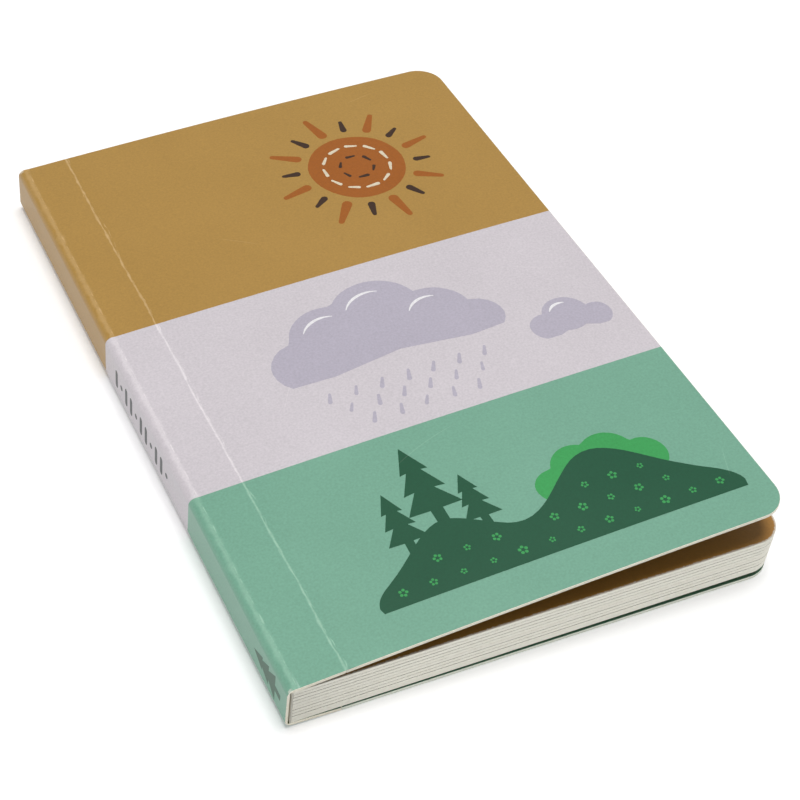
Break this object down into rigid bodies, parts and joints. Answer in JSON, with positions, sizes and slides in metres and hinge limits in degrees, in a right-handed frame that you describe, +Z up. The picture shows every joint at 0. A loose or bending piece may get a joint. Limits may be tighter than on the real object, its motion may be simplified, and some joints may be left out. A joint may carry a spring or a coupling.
{
  "type": "lift-the-flap board book",
  "caption": "Tall board book with rounded fore-edge corners, thick leaves cut across into flaps, and a folded cover that hinges at score lines beside the spine.",
  "frame": {"origin": "on the table, under the middle of the book as it lies", "axes": "+Y from the book's tail to its head, along the spine; +X from the spine to the fore edge; +Z up, out of the front cover"},
  "size_m": [0.1547, 0.23, 0.0283],
  "materials": {
    "page_board": "matte",
    "printed_cover": "satin"
  },
  "bodies": {
    "binding": {"page_block": "page_board", "cover_spine": "printed_cover"},
    "front_cover": {"front_cover": "printed_cover"},
    "back_cover": {"back_cover": "printed_cover"}
  },
  "joints": [
    {"name": "front_cover_hinge", "type": "hinge", "parent": "binding", "child": "front_cover", "pos_m": [-0.06143, 0, 0.01663], "axis": [0, -1, 0], "range_deg": [-4.7, 170]},
    {"name": "back_cover_hinge", "type": "hinge", "parent": "binding", "child": "back_cover", "pos_m": [-0.06124, 0, 0], "axis": [0, 1, 0], "range_deg": [0, 170]}
  ]
}
